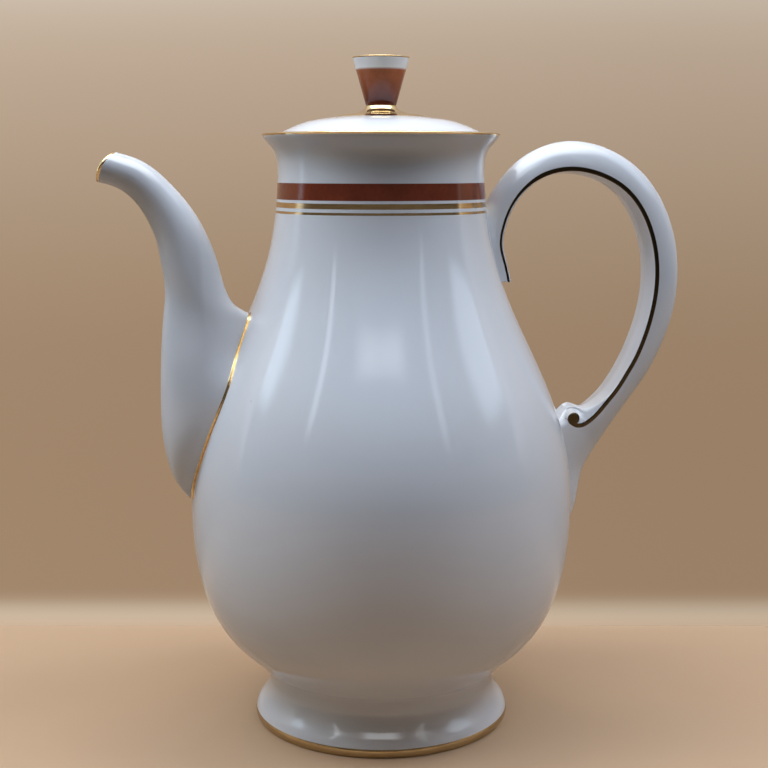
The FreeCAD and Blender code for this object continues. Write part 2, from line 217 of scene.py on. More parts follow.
def noise(tree, place, scale, detail=2.0, roughness=0.5):
    """Noise node's value, about 0.5 on average, at a scale in waves per metre."""
    node = tree.nodes.new("ShaderNodeTexNoise")
    link_in(tree, node, Vector=place, Scale=scale, Detail=detail, Roughness=roughness)
    return node.outputs[0]


def swing(tree, value, low, high):
    """A noise value spread from low to high."""
    node = tree.nodes.new("ShaderNodeMapRange")
    link_in(tree, node, i0=value, i1=0.3, i2=0.7, i3=low, i4=high)
    return node.outputs[0]


def make_glaze_group():
    """Clear glaze over cast porcelain: slow ripples, faint clouding and a few iron specks."""
    group, start, end = new_group(
        "porcelain_glaze", [("Place", "NodeSocketVector"), ("Colour", "NodeSocketColor")],
        [("Colour", "NodeSocketColor"), ("Roughness", "NodeSocketFloat"), ("Height", "NodeSocketFloat")])
    place = start.outputs["Place"]
    cloud = swing(group, noise(group, place, 26.0, 3.0), 0.975, 1.012)
    tinted = group.nodes.new("ShaderNodeVectorMath")
    tinted.operation = "SCALE"
    link_in(group, tinted, i0=start.outputs["Colour"], Scale=cloud)
    cells = group.nodes.new("ShaderNodeTexVoronoi")
    link_in(group, cells, Vector=place, Scale=75.0)
    rare = group.nodes.new("ShaderNodeSeparateColor")
    link_in(group, rare, i0=cells.outputs["Color"])
    chosen = math_node(group, "GREATER_THAN", rare.outputs[0], 1 - SPECKED_CELLS)
    away = math_node(group, "MULTIPLY", cells.outputs["Distance"], 32.0)
    near = math_node(group, "SUBTRACT", 1.0, away, True)
    speck = math_node(group, "MULTIPLY", math_node(group, "MULTIPLY", chosen, near), 0.55)
    coloured = mix_colour(group, speck, tinted.outputs[0], IRON_SPECK)
    gloss = swing(group, noise(group, place, 70.0, 2.0), *GLAZE_GLOSS)
    ripple = math_node(group, "MULTIPLY", noise(group, place, 24.0, 1.0), RIPPLE)
    peel = math_node(group, "MULTIPLY", noise(group, place, 320.0, 1.0), ORANGE_PEEL)
    height = math_node(group, "ADD", ripple, peel)
    group.links.new(coloured, end.inputs["Colour"])
    group.links.new(gloss, end.inputs["Roughness"])
    group.links.new(height, end.inputs["Height"])
    return group


def make_gilding_group():
    """Burnished gold laid on with a brush: faint streaks round the pot and rubbed places."""
    group, start, end = new_group(
        "burnished_gilding", [("Place", "NodeSocketVector")],
        [("Colour", "NodeSocketColor"), ("Roughness", "NodeSocketFloat")])
    place = start.outputs["Place"]
    squeezed = group.nodes.new("ShaderNodeVectorMath")
    squeezed.operation = "MULTIPLY"
    link_in(group, squeezed, i0=place, i1=(1.0, 1.0, 9.0))
    streak = swing(group, noise(group, squeezed.outputs[0], 160.0, 3.0), 0.0, 1.0)
    rubbed = swing(group, noise(group, place, 85.0, 2.0), *GOLD_GLOSS)
    group.links.new(mix_colour(group, streak, DARK_GOLD, PALE_GOLD), end.inputs["Colour"])
    group.links.new(rubbed, end.inputs["Roughness"])
    return group


def make_enamel_group():
    """Iron-red enamel, brushed on over the glaze and fired glossy, thinner in places."""
    group, start, end = new_group(
        "iron_red_enamel", [("Place", "NodeSocketVector"), ("Colour", "NodeSocketColor")],
        [("Colour", "NodeSocketColor"), ("Roughness", "NodeSocketFloat")])
    place = start.outputs["Place"]
    mottle = swing(group, noise(group, place, 130.0, 4.0), 0.86, 1.16)
    fine = swing(group, noise(group, place, 700.0, 2.0), 0.93, 1.07)
    shade = group.nodes.new("ShaderNodeVectorMath")
    shade.operation = "SCALE"
    link_in(group, shade, i0=start.outputs["Colour"], Scale=math_node(group, "MULTIPLY", mottle, fine))
    group.links.new(shade.outputs[0], end.inputs["Colour"])
    gloss = swing(group, noise(group, place, 240.0, 2.0), *ENAMEL_GLOSS)
    group.links.new(gloss, end.inputs["Roughness"])
    return group


def make_ring_group():
    """Mask for a ring painted round the pot, between two heights and beyond a radius, in mm."""
    group, start, end = new_group(
        "painted_ring",
        [("Place", "NodeSocketVector"), ("Low", "NodeSocketFloat"), ("High", "NodeSocketFloat"),
         ("Beyond", "NodeSocketFloat"), ("Edge", "NodeSocketFloat")],
        [("Mask", "NodeSocketFloat")])
    parts = group.nodes.new("ShaderNodeSeparateXYZ")
    link_in(group, parts, i0=start.outputs["Place"])
    height = math_node(group, "MULTIPLY", parts.outputs[2], 1000.0)
    square = math_node(group, "ADD", math_node(group, "POWER", parts.outputs[0], 2.0),
                      math_node(group, "POWER", parts.outputs[1], 2.0))
    radius = math_node(group, "MULTIPLY", math_node(group, "SQRT", square), 1000.0)
    mask = 1.0
    for more, less in ((height, start.outputs["Low"]), (start.outputs["High"], height),
                       (radius, start.outputs["Beyond"])):
        inside = math_node(group, "SUBTRACT", more, less)
        share = math_node(group, "DIVIDE", inside, start.outputs["Edge"], True)
        mask = math_node(group, "MULTIPLY", mask, share)
    group.links.new(mask, end.inputs["Mask"])
    return group


GLAZE = make_glaze_group()
GILDING = make_gilding_group()
ENAMEL = make_enamel_group()
RING = make_ring_group()


def use_group(tree, group, **sockets):
    """Places a group in a material with its own inputs."""
    node = tree.nodes.new("ShaderNodeGroup")
    node.node_tree = group
    return link_in(tree, node, **sockets)


class Glazed:
    """Porcelain material that takes painted layers, one over another, before it is closed."""

    def __init__(self, name, colour=PORCELAIN):
        self.material = bpy.data.materials.new(name)
        self.material.use_nodes = True
        self.tree = self.material.node_tree
        self.place = self.tree.nodes.new("ShaderNodeTexCoord").outputs["Object"]
        glaze = use_group(self.tree, GLAZE, Place=self.place, Colour=colour)
        self.colour = glaze.outputs["Colour"]
        self.roughness = glaze.outputs["Roughness"]
        self.height = glaze.outputs["Height"]
        self.metallic = None

    def ring(self, low, high, beyond=0.0, edge=PAINT_EDGE):
        """Mask of a ring between two heights, outside a radius."""
        node = use_group(self.tree, RING, Place=self.place, Low=low, High=high,
                         Beyond=beyond, Edge=edge)
        return node.outputs["Mask"]

    def read(self, name):
        """The piece's own attribute, in mm."""
        node = self.tree.nodes.new("ShaderNodeAttribute")
        node.attribute_name = name
        return node.outputs["Fac"]

    def attribute(self, name):
        """Mask that is 1 where an attribute is above zero."""
        return math_node(self.tree, "DIVIDE", self.read(name), PAINT_EDGE, True)

    def raise_by(self, share, rise):
        """Raises the surface by a share of a rise in mm."""
        lift = math_node(self.tree, "MULTIPLY", share, rise)
        self.height = math_node(self.tree, "ADD", self.height, lift)

    def bead(self, name, width, rise):
        """Raises a rounded bead where an attribute goes from zero to a width."""
        share = math_node(self.tree, "DIVIDE", self.read(name), width, True)
        rest = math_node(self.tree, "SUBTRACT", 2.0, share)
        self.raise_by(math_node(self.tree, "MULTIPLY", share, rest), rise)

    def enamel(self, mask, colour=IRON_RED):
        """Lays brushed enamel where the mask is 1."""
        paint = use_group(self.tree, ENAMEL, Place=self.place, Colour=colour)
        self.colour = mix_colour(self.tree, mask, self.colour, paint.outputs["Colour"])
        self.roughness = mix_value(self.tree, mask, self.roughness, paint.outputs["Roughness"])

    def gild(self, mask, tone=1.0):
        """Lays gold where the mask is 1, its colour multiplied by the tone."""
        gold = use_group(self.tree, GILDING, Place=self.place)
        toned = self.tree.nodes.new("ShaderNodeVectorMath")
        toned.operation = "SCALE"
        link_in(self.tree, toned, i0=gold.outputs["Colour"], Scale=tone)
        self.colour = mix_colour(self.tree, mask, self.colour, toned.outputs[0])
        self.roughness = mix_value(self.tree, mask, self.roughness, gold.outputs["Roughness"])
        self.metallic = mask if self.metallic is None else math_node(
            self.tree, "MAXIMUM", self.metallic, mask)

    def close(self):
        """Joins the layers to the shader."""
        shader = self.tree.nodes["Principled BSDF"]
        shader.inputs["IOR"].default_value = 1.55
        bump = self.tree.nodes.new("ShaderNodeBump")
        link_in(self.tree, bump, Strength=1.0, Distance=MM, Height=self.height)
        self.tree.links.new(self.colour, shader.inputs["Base Color"])
        self.tree.links.new(self.roughness, shader.inputs["Roughness"])
        self.tree.links.new(bump.outputs[0], shader.inputs["Normal"])
        if self.metallic is not None:
            self.tree.links.new(self.metallic, shader.inputs["Metallic"])
        return self.material


outer_wall = smooth_curve(NECK_OF_FOOT, 10) + [CREASE] + [
    point for point in smooth_curve(BODY_OUTLINE, 130) if point[1] > CREASE[1] + ABOVE_CREASE]


def body_radius(height):
    """Radius of the body's outside, in mm, at a height."""
    for low, high in zip(outer_wall, outer_wall[1:]):
        if height <= high[1]:
            return low[0] + (high[0] - low[0]) * (height - low[1]) / (high[1] - low[1])
    return outer_wall[-1][0]


inner_wall = []
for before, point, after in zip(outer_wall, outer_wall[1:], outer_wall[2:]):
    run = after[0] - before[0]
    rise = after[1] - before[1]
    length = math.hypot(run, rise)
    inside = (point[0] - WALL * rise / length, point[1] + WALL * run / length)
    if INNER_SPAN[0] < inside[1] < INNER_SPAN[1]:
        inner_wall.append(inside)


def select_points(test):
    """Selects the points of the mesh being edited that pass a test on their place in mm."""
    bpy.ops.object.mode_set(mode="OBJECT")
    mesh = bpy.context.object.data
    for part in (*mesh.polygons, *mesh.edges):
        part.select = False
    for vertex in mesh.vertices:
        vertex.select = test(*(c / MM for c in vertex.co))
    bpy.ops.object.mode_set(mode="EDIT")


pot_body = lathe("porcelain_body", [(0.0, BASE)] + outer_wall + LIP + SEAT + inner_wall[::-1]
                 + [(inner_wall[0][0] - FLOOR_CORNER, FLOOR), (0.0, FLOOR)])
bpy.ops.object.mode_set(mode="EDIT")
bpy.ops.mesh.select_mode(type="VERT")
select_points(lambda x, y, z: math.hypot(x, y) > CREASE[0] - CREASE_EDGE[0]
              and abs(z - CREASE[1]) < CREASE_EDGE[1])
bpy.ops.mesh.mark_sharp()
bpy.ops.object.mode_set(mode="OBJECT")
body_glaze = Glazed("body_glaze")
body_glaze.enamel(body_glaze.ring(*RED_BAND, beyond=NECK_OUTSIDE))
for heights in (BROAD_GILT, FINE_GILT):
    body_glaze.gild(body_glaze.ring(*heights, beyond=NECK_OUTSIDE))
body_glaze.gild(body_glaze.ring(*RIM_GILT, beyond=RIM_OUTSIDE))
body_glaze.gild(body_glaze.attribute("gilt"))
body_glaze.bead("gilt", BEAD_WIDTH, BEAD_RISE)
pot_body.data.materials.append(body_glaze.close())
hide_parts("pot_body")
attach(pot_body, "pot")

# ---- Foot ring --------------------------------------------------------------------------
# Flared ring of the same porcelain, luted under the body with slip so that a sharp crease
# shows, and left hollow underneath. Its toe is gilded.

FOOT_OUTLINE = [(43.17, 16.5), (43.15, 14.8), (43.6, 12.6), (44.6, 10.3), (46.1, 8.0),
                (47.8, 5.5), (48.8, 2.3)]
TOE = [(48.7, 1.2), (48.45, 0.5), (48.0, 0.0), (44.4, 0.0)]
FOOT_WALL = 4.2
FOOT_GILT = (-1.0, 3.5)
FOOT_GILT_BEYOND = 46.4
# the toe's gold is darkened to this share of its colour: painted shade from the table close under it
FOOT_GILT_PAINTED_SHADE = 0.7

outside = smooth_curve(FOOT_OUTLINE, 26)
inside = [(radius - FOOT_WALL, height) for radius, height in outside[::-1]]
foot_ring = lathe("foot", outside + TOE + inside + [outside[0]], edge=0)
foot_glaze = Glazed("foot_glaze")
foot_glaze.gild(foot_glaze.ring(*FOOT_GILT, beyond=FOOT_GILT_BEYOND), tone=FOOT_GILT_PAINTED_SHADE)
foot_ring.data.materials.append(foot_glaze.close())
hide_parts("foot_ring")
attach(foot_ring, "pot")

# ---- Spout ------------------------------------------------------------------------------
# Swan-neck spout, cast in its own mould, cut to the body's curve and luted on along a
# pointed seam. A gilt line hides the seam, and the lip is gilded.

# front point, back point and half width of each section from the tip of the seam to the mouth
SPOUT_SECTIONS = [
    ((-72.9, 88.3), (-69.1, 88.3), 1.05), ((-76.5, 92.9), (-68.1, 92.9), 2.55),
    ((-79.4, 98.5), (-65.3, 98.5), 6.45), ((-81.0, 104.0), (-62.3, 104.0), 9.75),
    ((-82.7, 117.0), (-52.3, 117.0), 13.95), ((-82.8, 126.0), (-44.8, 126.0), 15.0),
    ((-82.6, 135.0), (-46.5, 135.0), 14.2), ((-82.2, 143.3), (-48.8, 143.3), 12.8),
    ((-81.0, 157.5), (-46.5, 154.0), 10.8), ((-80.4, 163.0), (-51.1, 157.5), 10.2),
    ((-80.5, 168.6), (-55.6, 160.6), 9.8), ((-81.1, 173.2), (-58.8, 167.1), 9.5),
    ((-81.7, 176.6), (-61.3, 176.6), 9.1), ((-82.7, 182.5), (-64.2, 184.5), 8.6),
    ((-84.5, 187.9), (-68.1, 192.2), 8.0), ((-89.1, 196.3), (-77.3, 204.0), 7.0),
    ((-95.9, 202.4), (-87.3, 212.1), 6.45), ((-103.6, 204.8), (-97.4, 215.5), 6.2)]
SPOUT_WALL = 2.2
SPOUT_SIDES = 72
SPOUT_EDGE = 0.5
# the lip's sides stand out by the bow, which fades down the spout and stays near the mouth
LIP_BOW = 1.9
LIP_DEPTH = 9.0
LIP_REACH = 14.0
# the shoulder narrows by the taper between these places along X and Z
SHOULDER_X = (-68.0, -50.0)
SHOULDER_Z = (132.0, 154.0)
SHOULDER_TAPER = 0.6
LIP_GILT = 1.0
SEAM_GILT = 0.85
# the part of the body that the seam runs over
SEAM_FRONT = -40.0
SEAM_HEIGHTS = (84.0, 162.0)
UNGILDED = -9.0


def section_frame(front, back, half_width):
    """Centre, tilt, length and width of a section given by its front and back points."""
    length = math.dist(front, back)
    tilt = math.atan2(back[1] - front[1], back[0] - front[0])
    return ((front[0] + back[0]) / 2, (front[1] + back[1]) / 2), tilt, length, 2 * half_width


def section_frames(sections, count):
    """Frames of evenly spaced sections on a smooth curve through the given ones."""
    joined = [(*front, *back, half_width) for front, back, half_width in sections]
    return [section_frame(p[0:2], p[2:4], p[4]) for p in smooth_curve(joined, count)]


def add_section(old, new):
    """Extrudes the selected end face from one section's place, tilt and size to the next's."""
    (old_x, old_z), old_tilt, old_length, old_width = old
    (x, z), tilt, length, width = new
    centre = (x * MM, 0, z * MM)
    bpy.ops.mesh.extrude_region_move(
        TRANSFORM_OT_translate={"value": ((x - old_x) * MM, 0, (z - old_z) * MM)})
    bpy.ops.transform.rotate(value=-old_tilt, orient_axis="Y", center_override=centre)
    bpy.ops.transform.resize(value=(length / old_length, width / old_width, 1), center_override=centre)
    bpy.ops.transform.rotate(value=tilt, orient_axis="Y", center_override=centre)


def pick(piece):
    """Selects one piece alone and makes it the active one."""
    bpy.ops.object.select_all(action="DESELECT")
    piece.select_set(True)
    bpy.context.view_layer.objects.active = piece


def cut_to_body(piece):
    """Cuts away what lies inside the body, with the body's own outside."""
    core = lathe("body_core", [(0.0, BASE)] + outer_wall + [(0.0, outer_wall[-1][1])], edge=0)
    pick(piece)
    cut = piece.modifiers.new("cut_to_body", "BOOLEAN")
    cut.operation = "DIFFERENCE"
    cut.solver = "EXACT"
    cut.object = core
    bpy.ops.object.modifier_apply(modifier=cut.name)
    bpy.data.objects.remove(core)
    bpy.ops.object.shade_smooth_by_angle(angle=math.radians(40))


def write_attribute(piece, name, measure):
    """Stores measure(x, y, z), all in mm, on the piece's points for its material."""
    attribute = piece.data.attributes.new(name, "FLOAT", "POINT")
    for vertex, entry in zip(piece.data.vertices, attribute.data):
        entry.value = measure(*(c / MM for c in vertex.co))


def share_between(value, start, end):
    """How far a value has come from start to end, held between 0 and 1."""
    return max(0.0, min(1.0, (value - start) / (end - start)))


outer_rings = section_frames(SPOUT_SECTIONS, 96)
inner_rings = [(centre, tilt, length - 2 * SPOUT_WALL, width - 2 * SPOUT_WALL)
               for centre, tilt, length, width in outer_rings[::2]
               if length > 4 * SPOUT_WALL and width > 4 * SPOUT_WALL]

bpy.ops.object.select_all(action="DESELECT")
first = outer_rings[0]
bpy.ops.mesh.primitive_circle_add(vertices=SPOUT_SIDES, radius=first[2] / 2 * MM, fill_type="NGON",
                                  location=(first[0][0] * MM, 0, first[0][1] * MM))
spout = bpy.context.object
spout.name = "swan_neck_spout"
bpy.ops.object.transform_apply(location=True, rotation=False, scale=False)
bpy.ops.object.mode_set(mode="EDIT")
bpy.ops.mesh.select_mode(type="FACE")
bpy.ops.mesh.select_all(action="SELECT")
bpy.ops.transform.resize(value=(1, first[3] / first[2], 1),
                         center_override=(first[0][0] * MM, 0, first[0][1] * MM))
for old, new in zip(outer_rings, outer_rings[1:]):
    add_section(old, new)
mouth = outer_rings[-1]
for old, new in zip([mouth] + inner_rings[::-1], inner_rings[::-1]):
    add_section(old, new)
bpy.ops.mesh.select_all(action="SELECT")
bpy.ops.mesh.normals_make_consistent(inside=False)
bpy.ops.object.mode_set(mode="OBJECT")

(mouth_x, mouth_z), mouth_tilt, mouth_length = mouth[:3]
across = Vector((math.cos(mouth_tilt), 0, math.sin(mouth_tilt)))
outward = Vector((-across.z, 0, across.x))
middle = Vector((mouth_x, 0, mouth_z)) * MM


def lip_bow(offset):
    """How far the lip stands out, in mm, at an offset from the middle of the mouth."""
    share = offset.dot(across) / (mouth_length / 2)
    return LIP_BOW * max(0.0, 1 - share * share)


for vertex in spout.data.vertices:
    offset = (vertex.co - middle) / MM
    if offset.length < LIP_REACH:
        fade = 1 - share_between(-offset.dot(outward), 0.0, LIP_DEPTH)
        vertex.co += outward * (lip_bow(offset) * fade * fade * MM)
    reach = share_between(vertex.co.x / MM, *SHOULDER_X)
    rise = share_between(vertex.co.z / MM, *SHOULDER_Z)
    vertex.co.y *= 1 - SHOULDER_TAPER * reach * rise
# the spout's whole surface, from which the gilt beside the seam is measured on the body
uncut = BVHTree.FromPolygons([v.co.copy() for v in spout.data.vertices],
                             [tuple(f.vertices) for f in spout.data.polygons])

pick(spout)
soften(spout, SPOUT_EDGE, angle=50)
cut_to_body(spout)


def spout_gilding(x, y, z):
    """How far a point lies inside the gilt of the seam or of the lip, in mm."""
    seam = SEAM_GILT - (math.hypot(x, y) - body_radius(z))
    offset = Vector((x - mouth_x, 0, z - mouth_z))
    lip = LIP_GILT - (lip_bow(offset) - offset.dot(outward))
    return max(seam, lip)


def seam_gilding(x, y, z):
    """How far a point of the body lies inside the gilt beside the spout, in mm."""
    if x > SEAM_FRONT or not SEAM_HEIGHTS[0] < z < SEAM_HEIGHTS[1]:
        return UNGILDED
    point = Vector((x, y, z)) * MM
    near, normal, _, distance = uncut.find_nearest(point)
    return SEAM_GILT - math.copysign(distance / MM, (point - near).dot(normal))


write_attribute(spout, "gilt", spout_gilding)
write_attribute(pot_body, "gilt", seam_gilding)
spout_glaze = Glazed("spout_glaze")
spout_glaze.gild(spout_glaze.attribute("gilt"))
spout_glaze.bead("gilt", BEAD_WIDTH, BEAD_RISE)
spout.data.materials.append(spout_glaze.close())
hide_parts("spout")
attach(spout, "pot")

# ---- Handle -----------------------------------------------------------------------------
# Arched handle, pressed solid in a two-part mould and luted on: a tongue lies down the body
# below the upper joint, and the lower joint ends in a scroll and a tail. A gilt line follows
# the inner edge on both sides and curls up in the scroll.

# inner point, outer point and half width of each section, from the tongue to the tail
HANDLE_SECTIONS = [
    ((48.9, 167.0), (32.2, 168.0), 7.0), ((47.2, 174.0), (32.2, 175.0), 7.0),
    ((45.6, 180.7), (36.2, 180.4), 7.0), ((46.4, 187.4), (37.8, 189.6), 7.0),
    ((48.8, 193.9), (41.5, 198.1), 7.0), ((57.4, 203.9), (52.4, 211.7), 7.0),
    ((69.8, 208.2), (69.4, 219.4), 7.0), ((83.3, 206.4), (87.7, 217.4), 7.0),
    ((95.0, 199.7), (103.4, 207.9), 7.0), ((102.7, 188.8), (113.6, 193.6), 7.0),
    ((107.1, 168.6), (119.27, 168.5), 7.0), ((105.6, 154.9), (117.2, 152.0), 7.0),
    ((101.4, 141.8), (111.4, 137.1), 7.0), ((95.1, 129.6), (103.6, 124.4), 7.0),
    ((91.3, 124.2), (98.9, 118.4), 7.0), ((87.6, 120.5), (93.7, 111.3), 7.0),
    ((83.0, 117.4), (90.0, 106.3), 7.0), ((79.4, 116.7), (87.1, 102.1), 7.0),
    ((75.4, 117.7), (85.2, 99.2), 7.0), ((72.0, 115.8), (83.4, 96.2), 7.0),
    ((65.5, 106.0), (81.1, 91.5), 6.5),
    ((65.0, 94.0), (79.7, 84.8), 5.7), ((65.6, 80.2), (78.5, 78.0), 4.9),
    ((65.3, 73.4), (77.0, 73.4), 4.3)]
# the D-shaped section starts as a thinner blank, which is stretched once its outside is round
BLANK = (7.4, 14.0)
BLANK_ROUNDING = 6.9
THICKNESS = 12.0
INNER_EDGE = 0.35
INNER_FACE = -5.9
# the inner face is crowned in steps, each nearer its middle than the last
INNER_CROWN = 0.8
CROWN_STEPS = (5.2, 3.5, 1.8, 0.2)
# the gilt line runs beside the inner edge of these sections, on the handle's flat sides
LINED_SECTIONS = 12
GILT_LINE_WIDTH = 1.8
GILT_LINE_INSET = 1.0
# the line is gold, its colour darkened to a tenth as a painted dark reflection of the room, so that it
# reads black
GILT_LINE_PAINTED_DARK = 0.1
FLAT_SIDE = 4.6
# along the tongue, which is above this height, the line thins towards the body
TONGUE_HEIGHT = 160.0
TONGUE_X = (60.0, 48.0)
TONGUE_THINNING = 0.9
CURL = [(102.4, 141.3), (99.6, 135.3), (97.4, 131.6), (94.8, 127.4), (91.8, 123.2), (88.3, 119.1),
        (84.8, 115.1), (81.3, 112.1), (79.1, 110.9), (76.4, 110.8), (74.0, 112.2)]
# the scroll's eye, which is painted over and stands a little proud
VOLUTE = (75.0, 113.5)
VOLUTE_RADIUS = 2.5
VOLUTE_RISE = 0.3
VOLUTE_EDGE = 0.5
# near the scroll the sides roll inwards from the line to the inner face
ROLL_FOOT = [(73.0, 110.5), (69.0, 109.3), (60.0, 106.5)]
ROLL = 0.72
ROLL_DEPTH = 5.0
ROLL_REACH = 26.0
ROLL_FADE = 14.0
# reach about the eye of each finer subdivision and its cuts, and of each smoothing and its
# repeats, both beyond a distance from the handle's middle plane
SCROLL_CUTS = ((14.0, 1), (4.4, 2))
CUT_BEYOND = 1.5
SCROLL_SMOOTHING = ((20.0, 10), (15.0, 22))
SMOOTH_BEYOND = 0.8
EYE_MARGIN = 0.4


def from_eye(x, z):
    """Distance from the middle of the scroll's eye in the side view, in mm."""
    return math.hypot(x - VOLUTE[0], z - VOLUTE[1])


handle_rings = section_frames(HANDLE_SECTIONS, 230)
bpy.ops.object.select_all(action="DESELECT")
bpy.ops.mesh.primitive_plane_add(size=1.0, location=(0, 0, 0))
handle = bpy.context.object
handle.name = "arched_handle"
bpy.ops.object.mode_set(mode="EDIT")
bpy.ops.mesh.select_mode(type="VERT")
bpy.ops.mesh.select_all(action="SELECT")
bpy.ops.transform.resize(value=(BLANK[0] * MM, BLANK[1] * MM, 1))
select_points(lambda x, y, z: x > 0)
bpy.ops.mesh.bevel(affect="VERTICES", offset=BLANK_ROUNDING * MM, segments=18)
bpy.ops.mesh.select_all(action="SELECT")
bpy.ops.transform.resize(value=(THICKNESS / BLANK[0], 1, 1))
select_points(lambda x, y, z: x < INNER_FACE)
bpy.ops.mesh.bevel(affect="VERTICES", offset=INNER_EDGE * MM, segments=3)
select_points(lambda x, y, z: x < INNER_FACE)
bpy.ops.mesh.subdivide(number_cuts=7)
for reach in CROWN_STEPS:
    select_points(lambda x, y, z: x < INNER_FACE and abs(y) < reach)
    bpy.ops.transform.translate(value=(-INNER_CROWN / len(CROWN_STEPS) * MM, 0, 0))
bpy.ops.mesh.select_mode(type="FACE")
bpy.ops.mesh.select_all(action="SELECT")
first = handle_rings[0]
centre = (first[0][0] * MM, 0, first[0][1] * MM)
bpy.ops.transform.translate(value=centre)
bpy.ops.transform.resize(value=(first[2] / THICKNESS, first[3] / BLANK[1], 1), center_override=centre)
bpy.ops.transform.rotate(value=first[1], orient_axis="Y", center_override=centre)
for old, new in zip(handle_rings, handle_rings[1:]):
    add_section(old, new)
bpy.ops.mesh.select_mode(type="VERT")
for reach, cuts in SCROLL_CUTS:
    select_points(lambda x, y, z: from_eye(x, z) < reach and abs(y) > CUT_BEYOND)
    bpy.ops.mesh.subdivide(number_cuts=cuts)
bpy.ops.mesh.select_all(action="SELECT")
bpy.ops.mesh.normals_make_consistent(inside=False)
bpy.ops.object.mode_set(mode="OBJECT")

line_path = []
for inner, outer, _ in HANDLE_SECTIONS[:LINED_SECTIONS]:
    share = GILT_LINE_INSET / math.dist(inner, outer)
    line_path.append((inner[0] + (outer[0] - inner[0]) * share,
                      inner[1] + (outer[1] - inner[1]) * share))
gilt_path = smooth_curve(line_path + CURL, 300)
ledge_path = smooth_curve(line_path[-2:] + CURL[:-1] + ROLL_FOOT, 120)


def offset_from(path, x, z):
    """Signed distance in mm from a path in the side view, negative on the inner side."""
    best = (1e9, 0.0)
    for (x0, z0), (x1, z1) in zip(path, path[1:]):
        run, rise = x1 - x0, z1 - z0
        share = max(0.0, min(1.0, ((x - x0) * run + (z - z0) * rise) / (run * run + rise * rise)))
        gap = math.hypot(x - x0 - share * run, z - z0 - share * rise)
        if gap < best[0]:
            best = (gap, math.copysign(gap, run * (z - z0) - rise * (x - x0)))
    return best[1]


# the scroll's eye is left standing
for vertex in handle.data.vertices:
    x, y, z = (c / MM for c in vertex.co)
    eye = from_eye(x, z)
    if eye < ROLL_REACH:
        fall = max(0.0, min(ROLL_DEPTH, -offset_from(ledge_path, x, z) - GILT_LINE_WIDTH / 2))
        share = (share_between(ROLL_REACH - eye, 0.0, ROLL_FADE)
                 * share_between(eye, VOLUTE_RADIUS, VOLUTE_RADIUS + VOLUTE_EDGE))
        vertex.co.y *= 1 - ROLL * share * fall / (BLANK[1] / 2)
pick(handle)
bpy.ops.object.mode_set(mode="EDIT")
for reach, repeats in SCROLL_SMOOTHING:
    select_points(lambda x, y, z: VOLUTE_RADIUS + EYE_MARGIN < from_eye(x, z) < reach
                  and abs(y) > SMOOTH_BEYOND
                  and offset_from(ledge_path, x, z) < -GILT_LINE_WIDTH / 2)
    bpy.ops.mesh.vertices_smooth(factor=0.5, repeat=repeats)
bpy.ops.object.mode_set(mode="OBJECT")
cut_to_body(handle)


def gilt_line(x, y, z):
    """How far a point of the handle's side lies from the gilt line, more where the line is thin."""
    along_tongue = share_between(x, *TONGUE_X) if z > TONGUE_HEIGHT else 0.0
    return offset_from(gilt_path, x, z) * (1 + TONGUE_THINNING * along_tongue)


write_attribute(handle, "line", gilt_line)
write_attribute(handle, "volute", lambda x, y, z: VOLUTE_RADIUS - from_eye(x, z))
write_attribute(handle, "side", lambda x, y, z: abs(y) - FLAT_SIDE)
handle_glaze = Glazed("handle_glaze")
tree = handle_glaze.tree
volute = handle_glaze.read("volute")
beside = math_node(tree, "ABSOLUTE", handle_glaze.read("line"))
line = math_node(tree, "SUBTRACT", GILT_LINE_WIDTH / 2, beside)
painted = math_node(tree, "DIVIDE", math_node(tree, "MAXIMUM", line, volute), PAINT_EDGE, True)
on_side = math_node(tree, "GREATER_THAN", handle_glaze.read("side"), 0.0)
handle_glaze.raise_by(math_node(tree, "DIVIDE", volute, VOLUTE_EDGE, True), VOLUTE_RISE)
# gold darkened as a painted dark reflection
handle_glaze.gild(math_node(tree, "MULTIPLY", painted, on_side), tone=GILT_LINE_PAINTED_DARK)
handle.data.materials.append(handle_glaze.close())
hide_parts("handle")
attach(handle, "pot")

# ---- Lid --------------------------------------------------------------------------------
# Shallow porcelain dome that drops into the seat, with a deep flange under it that keeps it
# in the neck when the pot is tipped. The hollow-curved collar in its middle is gilded.

LID_TOP = [(38.9, 221.75), (37.9, 222.15), (36.2, 222.85), (33.5, 224.15), (30.5, 225.4),
           (27.5, 226.4), (24.5, 227.05), (20.96, 227.6), (17.3, 228.0)]
COLLAR = [(17.3, 228.0), (15.0, 228.8), (10.3, 229.5), (7.4, 230.4), (5.95, 231.4), (5.6, 232.4)]
LID_EDGE = [(34.2, 207.8), (34.2, 219.8), (39.6, 219.8), (39.6, 221.0), (39.4, 221.45)]
LID_UNDER = [(0.0, 225.6), (17.3, 225.0), (31.2, 220.7), (31.2, 207.8)]
COLLAR_GILT = (228.05, 233.0)

lid = lathe("domed_lid", LID_UNDER + LID_EDGE + smooth_curve(LID_TOP, 30)
            + smooth_curve(COLLAR, 16)[1:] + [(0.0, COLLAR[-1][1])])
lid_glaze = Glazed("lid_glaze")
lid_glaze.gild(lid_glaze.ring(*COLLAR_GILT))
lid.data.materials.append(lid_glaze.close())
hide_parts("lid")
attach(lid, "lid")

# ---- Lid knob ---------------------------------------------------------------------------
# Trumpet-shaped porcelain knob with a nearly flat top, stuck to the lid's collar with slip.
# It is enamelled iron red, a white ring is left above that, and the top edge is gilded.

KNOB_RADII = (5.6, 10.5)
KNOB_HEIGHTS = (232.4, 249.7)
KNOB_RINGS = 12
KNOB_CROWN = [(10.15, 249.88), (9.5, 249.95), (8.0, 249.99), (0.0, 250.0)]
KNOB_RED = (231.0, 245.7)
